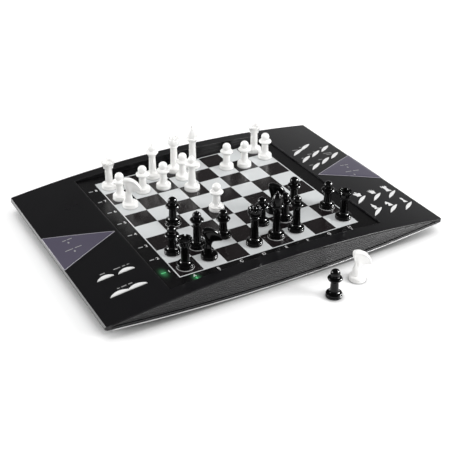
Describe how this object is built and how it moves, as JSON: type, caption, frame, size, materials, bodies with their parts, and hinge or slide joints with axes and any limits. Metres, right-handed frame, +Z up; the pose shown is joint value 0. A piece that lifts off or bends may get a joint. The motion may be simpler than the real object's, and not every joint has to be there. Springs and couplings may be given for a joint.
{
  "type": "electronic chess computer",
  "caption": "Bow-shaped table-top game computer with a sunken squared board, sprung keys on both wings, signal windows along two edges and a full set of lift-off pieces.",
  "frame": {"origin": "on the table, under the centre of the playing board", "axes": "+X across the board from the a file to the h file, +Y away from the player at the ribbed front, +Z up"},
  "size_m": [0.375, 0.3064, 0.073],
  "materials": {
    "shell": "satin black moulding",
    "base": "fine textured black moulding",
    "overlay": "printed sheet, dark and pale squares",
    "windows": "clear signal window",
    "inlay": "pearl grey-violet",
    "mat": "soft",
    "laminate": "green laminate",
    "cone": "paper cone in steel frame",
    "cell": "wrapped cells with plated contacts",
    "pad": "soft pad",
    "steel": "zinc plated",
    "key_cap": "pearl white",
    "light_piece": "polished white",
    "dark_piece": "polished black"
  },
  "bodies": {
    "console": {"upper_housing": "shell", "lower_housing": "base", "board_overlay": "overlay", "led_windows": "windows", "side_inlays": "inlay", "key_mats": "mat", "circuit_boards": "laminate", "speaker": "cone", "battery_cells": "cell", "feet": "pad", "screws": "steel"},
    "battery_door": {"battery_door": "base"},
    "key_power": {"key_power": "key_cap"},
    "key_display": {"key_display": "key_cap"},
    "key_training": {"key_training": "key_cap"},
    "key_menu_double": {"key_menu_double": "key_cap"},
    "key_menu_1": {"key_menu_1": "key_cap"},
    "key_menu_2": {"key_menu_2": "key_cap"},
    "key_menu_3": {"key_menu_3": "key_cap"},
    "key_menu_4": {"key_menu_4": "key_cap"},
    "key_menu_5": {"key_menu_5": "key_cap"},
    "key_menu_6": {"key_menu_6": "key_cap"},
    "key_king": {"key_king": "key_cap"},
    "key_queen": {"key_queen": "key_cap"},
    "key_rook": {"key_rook": "key_cap"},
    "key_bishop": {"key_bishop": "key_cap"},
    "key_knight": {"key_knight": "key_cap"},
    "key_pawn": {"key_pawn": "key_cap"},
    "white_rook_1": {"white_rook_1": "light_piece"},
    "white_rook_2": {"white_rook_2": "light_piece"},
    "white_knight_1": {"white_knight_1": "light_piece"},
    "white_bishop_1": {"white_bishop_1": "light_piece"},
    "white_bishop_2": {"white_bishop_2": "light_piece"},
    "white_queen": {"white_queen": "light_piece"},
    "white_king": {"white_king": "light_piece"},
    "white_pawn_1": {"white_pawn_1": "light_piece"},
    "white_pawn_2": {"white_pawn_2": "light_piece"},
    "white_pawn_3": {"white_pawn_3": "light_piece"},
    "white_pawn_4": {"white_pawn_4": "light_piece"},
    "white_pawn_5": {"white_pawn_5": "light_piece"},
    "white_pawn_6": {"white_pawn_6": "light_piece"},
    "white_pawn_7": {"white_pawn_7": "light_piece"},
    "white_pawn_8": {"white_pawn_8": "light_piece"},
    "white_knight_2": {"white_knight_2": "light_piece"},
    "black_rook_1": {"black_rook_1": "dark_piece"},
    "black_rook_2": {"black_rook_2": "dark_piece"},
    "black_knight_1": {"black_knight_1": "dark_piece"},
    "black_knight_2": {"black_knight_2": "dark_piece"},
    "black_bishop_1": {"black_bishop_1": "dark_piece"},
    "black_bishop_2": {"black_bishop_2": "dark_piece"},
    "black_queen": {"black_queen": "dark_piece"},
    "black_king": {"black_king": "dark_piece"},
    "black_pawn_1": {"black_pawn_1": "dark_piece"},
    "black_pawn_2": {"black_pawn_2": "dark_piece"},
    "black_pawn_3": {"black_pawn_3": "dark_piece"},
    "black_pawn_4": {"black_pawn_4": "dark_piece"},
    "black_pawn_5": {"black_pawn_5": "dark_piece"},
    "black_pawn_6": {"black_pawn_6": "dark_piece"},
    "black_pawn_7": {"black_pawn_7": "dark_piece"},
    "black_pawn_8": {"black_pawn_8": "dark_piece"}
  },
  "joints": [
    {"name": "battery_door_hinge", "type": "hinge", "parent": "console", "child": "battery_door", "pos_m": [0, 0.0679, 0.00295], "axis": [1, 0, 0], "range_deg": [0, 80]},
    {"name": "key_power_press", "type": "slide", "parent": "console", "child": "key_power", "axis": [0, 0, -1], "range_m": [0, 0.0008], "stiffness_N_per_m": 400},
    {"name": "key_display_press", "type": "slide", "parent": "console", "child": "key_display", "axis": [0, 0, -1], "range_m": [0, 0.0008], "stiffness_N_per_m": 400},
    {"name": "key_training_press", "type": "slide", "parent": "console", "child": "key_training", "axis": [0, 0, -1], "range_m": [0, 0.0008], "stiffness_N_per_m": 400},
    {"name": "key_menu_double_press", "type": "slide", "parent": "console", "child": "key_menu_double", "axis": [0, 0, -1], "range_m": [0, 0.0008], "stiffness_N_per_m": 400},
    {"name": "key_menu_1_press", "type": "slide", "parent": "console", "child": "key_menu_1", "axis": [0, 0, -1], "range_m": [0, 0.0008], "stiffness_N_per_m": 400},
    {"name": "key_menu_2_press", "type": "slide", "parent": "console", "child": "key_menu_2", "axis": [0, 0, -1], "range_m": [0, 0.0008], "stiffness_N_per_m": 400},
    {"name": "key_menu_3_press", "type": "slide", "parent": "console", "child": "key_menu_3", "axis": [0, 0, -1], "range_m": [0, 0.0008], "stiffness_N_per_m": 400},
    {"name": "key_menu_4_press", "type": "slide", "parent": "console", "child": "key_menu_4", "axis": [0, 0, -1], "range_m": [0, 0.0008], "stiffness_N_per_m": 400},
    {"name": "key_menu_5_press", "type": "slide", "parent": "console", "child": "key_menu_5", "axis": [0, 0, -1], "range_m": [0, 0.0008], "stiffness_N_per_m": 400},
    {"name": "key_menu_6_press", "type": "slide", "parent": "console", "child": "key_menu_6", "axis": [0, 0, -1], "range_m": [0, 0.0008], "stiffness_N_per_m": 400},
    {"name": "key_king_press", "type": "slide", "parent": "console", "child": "key_king", "axis": [0, 0, -1], "range_m": [0, 0.0008], "stiffness_N_per_m": 400},
    {"name": "key_queen_press", "type": "slide", "parent": "console", "child": "key_queen", "axis": [0, 0, -1], "range_m": [0, 0.0008], "stiffness_N_per_m": 400},
    {"name": "key_rook_press", "type": "slide", "parent": "console", "child": "key_rook", "axis": [0, 0, -1], "range_m": [0, 0.0008], "stiffness_N_per_m": 400},
    {"name": "key_bishop_press", "type": "slide", "parent": "console", "child": "key_bishop", "axis": [0, 0, -1], "range_m": [0, 0.0008], "stiffness_N_per_m": 400},
    {"name": "key_knight_press", "type": "slide", "parent": "console", "child": "key_knight", "axis": [0, 0, -1], "range_m": [0, 0.0008], "stiffness_N_per_m": 400},
    {"name": "key_pawn_press", "type": "slide", "parent": "console", "child": "key_pawn", "axis": [0, 0, -1], "range_m": [0, 0.0008], "stiffness_N_per_m": 400},
    {"name": "white_rook_1_lift", "type": "slide", "parent": "console", "child": "white_rook_1", "axis": [0, 0, 1], "range_m": [0, 0.06]},
    {"name": "white_rook_2_lift", "type": "slide", "parent": "console", "child": "white_rook_2", "axis": [0, 0, 1], "range_m": [0, 0.06]},
    {"name": "white_knight_1_lift", "type": "slide", "parent": "console", "child": "white_knight_1", "axis": [0, 0, 1], "range_m": [0, 0.06]},
    {"name": "white_bishop_1_lift", "type": "slide", "parent": "console", "child": "white_bishop_1", "axis": [0, 0, 1], "range_m": [0, 0.06]},
    {"name": "white_bishop_2_lift", "type": "slide", "parent": "console", "child": "white_bishop_2", "axis": [0, 0, 1], "range_m": [0, 0.06]},
    {"name": "white_queen_lift", "type": "slide", "parent": "console", "child": "white_queen", "axis": [0, 0, 1], "range_m": [0, 0.06]},
    {"name": "white_king_lift", "type": "slide", "parent": "console", "child": "white_king", "axis": [0, 0, 1], "range_m": [0, 0.06]},
    {"name": "white_pawn_1_lift", "type": "slide", "parent": "console", "child": "white_pawn_1", "axis": [0, 0, 1], "range_m": [0, 0.06]},
    {"name": "white_pawn_2_lift", "type": "slide", "parent": "console", "child": "white_pawn_2", "axis": [0, 0, 1], "range_m": [0, 0.06]},
    {"name": "white_pawn_3_lift", "type": "slide", "parent": "console", "child": "white_pawn_3", "axis": [0, 0, 1], "range_m": [0, 0.06]},
    {"name": "white_pawn_4_lift", "type": "slide", "parent": "console", "child": "white_pawn_4", "axis": [0, 0, 1], "range_m": [0, 0.06]},
    {"name": "white_pawn_5_lift", "type": "slide", "parent": "console", "child": "white_pawn_5", "axis": [0, 0, 1], "range_m": [0, 0.06]},
    {"name": "white_pawn_6_lift", "type": "slide", "parent": "console", "child": "white_pawn_6", "axis": [0, 0, 1], "range_m": [0, 0.06]},
    {"name": "white_pawn_7_lift", "type": "slide", "parent": "console", "child": "white_pawn_7", "axis": [0, 0, 1], "range_m": [0, 0.06]},
    {"name": "white_pawn_8_lift", "type": "slide", "parent": "console", "child": "white_pawn_8", "axis": [0, 0, 1], "range_m": [0, 0.06]},
    {"name": "white_knight_2_lift", "type": "slide", "parent": "console", "child": "white_knight_2", "axis": [0, 0, 1], "range_m": [0, 0.06]},
    {"name": "black_rook_1_lift", "type": "slide", "parent": "console", "child": "black_rook_1", "axis": [0, 0, 1], "range_m": [0, 0.06]},
    {"name": "black_rook_2_lift", "type": "slide", "parent": "console", "child": "black_rook_2", "axis": [0, 0, 1], "range_m": [0, 0.06]},
    {"name": "black_knight_1_lift", "type": "slide", "parent": "console", "child": "black_knight_1", "axis": [0, 0, 1], "range_m": [0, 0.06]},
    {"name": "black_knight_2_lift", "type": "slide", "parent": "console", "child": "black_knight_2", "axis": [0, 0, 1], "range_m": [0, 0.06]},
    {"name": "black_bishop_1_lift", "type": "slide", "parent": "console", "child": "black_bishop_1", "axis": [0, 0, 1], "range_m": [0, 0.06]},
    {"name": "black_bishop_2_lift", "type": "slide", "parent": "console", "child": "black_bishop_2", "axis": [0, 0, 1], "range_m": [0, 0.06]},
    {"name": "black_queen_lift", "type": "slide", "parent": "console", "child": "black_queen", "axis": [0, 0, 1], "range_m": [0, 0.06]},
    {"name": "black_king_lift", "type": "slide", "parent": "console", "child": "black_king", "axis": [0, 0, 1], "range_m": [0, 0.06]},
    {"name": "black_pawn_1_lift", "type": "slide", "parent": "console", "child": "black_pawn_1", "axis": [0, 0, 1], "range_m": [0, 0.06]},
    {"name": "black_pawn_2_lift", "type": "slide", "parent": "console", "child": "black_pawn_2", "axis": [0, 0, 1], "range_m": [0, 0.06]},
    {"name": "black_pawn_3_lift", "type": "slide", "parent": "console", "child": "black_pawn_3", "axis": [0, 0, 1], "range_m": [0, 0.06]},
    {"name": "black_pawn_4_lift", "type": "slide", "parent": "console", "child": "black_pawn_4", "axis": [0, 0, 1], "range_m": [0, 0.06]},
    {"name": "black_pawn_5_lift", "type": "slide", "parent": "console", "child": "black_pawn_5", "axis": [0, 0, 1], "range_m": [0, 0.06]},
    {"name": "black_pawn_6_lift", "type": "slide", "parent": "console", "child": "black_pawn_6", "axis": [0, 0, 1], "range_m": [0, 0.06]},
    {"name": "black_pawn_7_lift", "type": "slide", "parent": "console", "child": "black_pawn_7", "axis": [0, 0, 1], "range_m": [0, 0.06]},
    {"name": "black_pawn_8_lift", "type": "slide", "parent": "console", "child": "black_pawn_8", "axis": [0, 0, 1], "range_m": [0, 0.06]}
  ]
}
